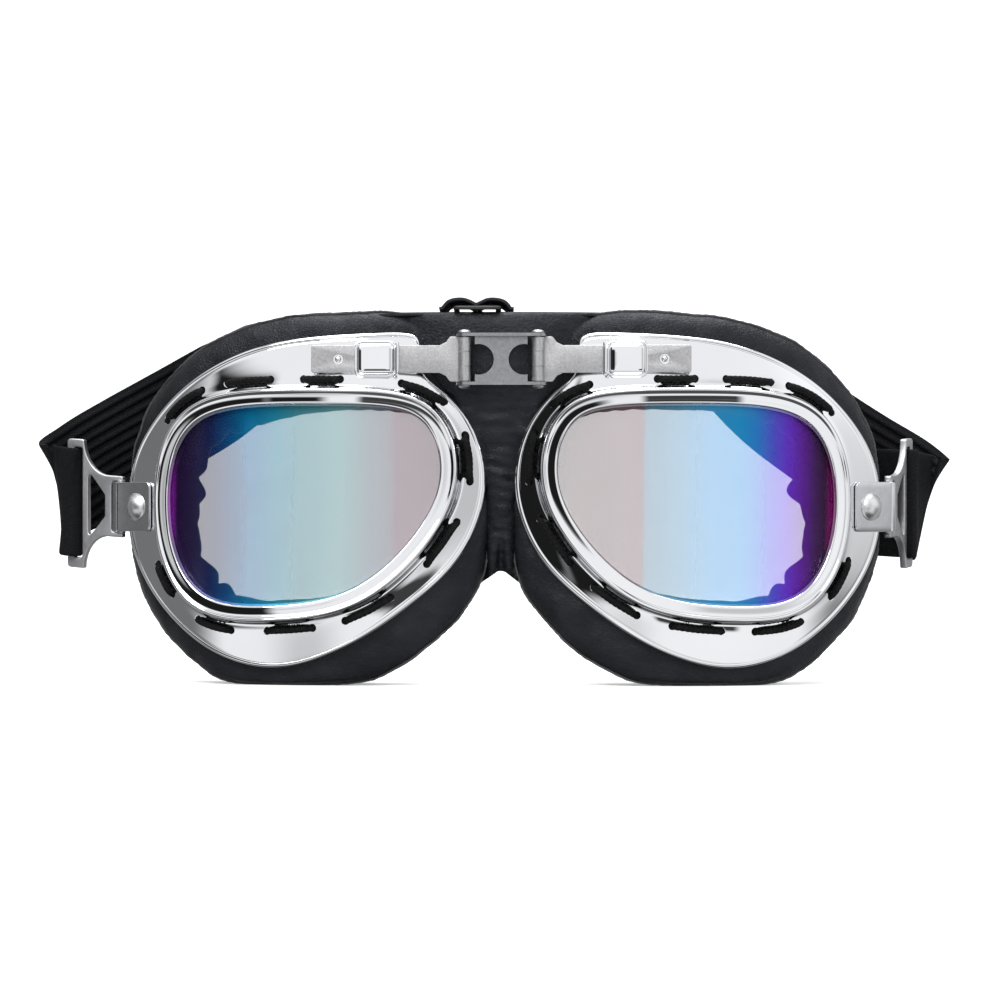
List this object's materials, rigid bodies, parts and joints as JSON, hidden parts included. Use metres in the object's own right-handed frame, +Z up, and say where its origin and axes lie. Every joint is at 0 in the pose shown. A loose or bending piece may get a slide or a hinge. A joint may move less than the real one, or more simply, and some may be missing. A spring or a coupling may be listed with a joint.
{
  "type": "motorcycle goggles",
  "caption": "Aviator-style motorcycle goggles: chromed lens cups on leather pads, folding about a pinned steel bridge, with swinging strap hooks and an elastic strap.",
  "frame": {"origin": "bottom centre of the bounding box, on the surface the pads stand on", "axes": "+X to the right as seen from the front, along the width; +Y to the back, towards the wearer's face; +Z up as worn"},
  "size_m": [0.2432, 0.0576, 0.0981],
  "materials": {
    "chrome_plate": "polished",
    "stainless_sheet": "brushed",
    "satin_nickel": "satin",
    "mirror_tint_lens": "iridescent coated",
    "black_leather": "smooth grain",
    "foam": "matte",
    "elastic_webbing": "ribbed weave",
    "braided_cord": "braided",
    "black_rubber": "matte",
    "black_plastic": "matte"
  },
  "bodies": {
    "bridge": {"bridge_plate": "stainless_sheet", "left_hinge_pin": "stainless_sheet", "right_hinge_pin": "stainless_sheet", "nose_leather": "black_leather", "left_strap": "elastic_webbing", "right_strap": "elastic_webbing"},
    "left_cup": {"left_shell": "chrome_plate", "left_lens": "mirror_tint_lens", "left_lens_retainer": "black_rubber", "left_lace": "braided_cord", "left_pad_foam": "foam", "left_pad_leather": "black_leather", "left_hinge_arm": "stainless_sheet", "left_strap_tab": "satin_nickel", "left_tab_rivet": "chrome_plate"},
    "right_cup": {"right_shell": "chrome_plate", "right_lens": "mirror_tint_lens", "right_lens_retainer": "black_rubber", "right_lace": "braided_cord", "right_pad_foam": "foam", "right_pad_leather": "black_leather", "right_hinge_arm": "stainless_sheet", "right_strap_tab": "satin_nickel", "right_tab_rivet": "chrome_plate"},
    "left_hook": {"left_strap_hook": "satin_nickel"},
    "right_hook": {"right_strap_hook": "satin_nickel"},
    "slider": {"strap_slider": "black_plastic", "slider_loop": "elastic_webbing"}
  },
  "joints": [
    {"name": "left_fold", "type": "hinge", "parent": "bridge", "child": "left_cup", "pos_m": [-0.00687, -0.02303, 0.082], "axis": [0, 0, -1], "range_deg": [-11, 14], "deforming": ["nose_leather", "left_strap"]},
    {"name": "right_fold", "type": "hinge", "parent": "bridge", "child": "right_cup", "pos_m": [0.01153, -0.02303, 0.082], "axis": [0, 0, 1], "range_deg": [-6, 19], "deforming": ["nose_leather", "right_strap"]},
    {"name": "left_hook_swing", "type": "hinge", "parent": "left_cup", "child": "left_hook", "pos_m": [-0.09589, 0.00735, 0.045], "axis": [0, 0, -1], "range_deg": [-22, 68], "deforming": ["left_strap"]},
    {"name": "right_hook_swing", "type": "hinge", "parent": "right_cup", "child": "right_hook", "pos_m": [0.10156, -0.00066, 0.045], "axis": [0, 0, 1], "range_deg": [-69, 21], "deforming": ["right_strap"]},
    {"name": "slider_slide", "type": "slide", "parent": "bridge", "child": "slider", "axis": [1, 0, 0], "range_m": [-0.015, 0.015]}
  ]
}
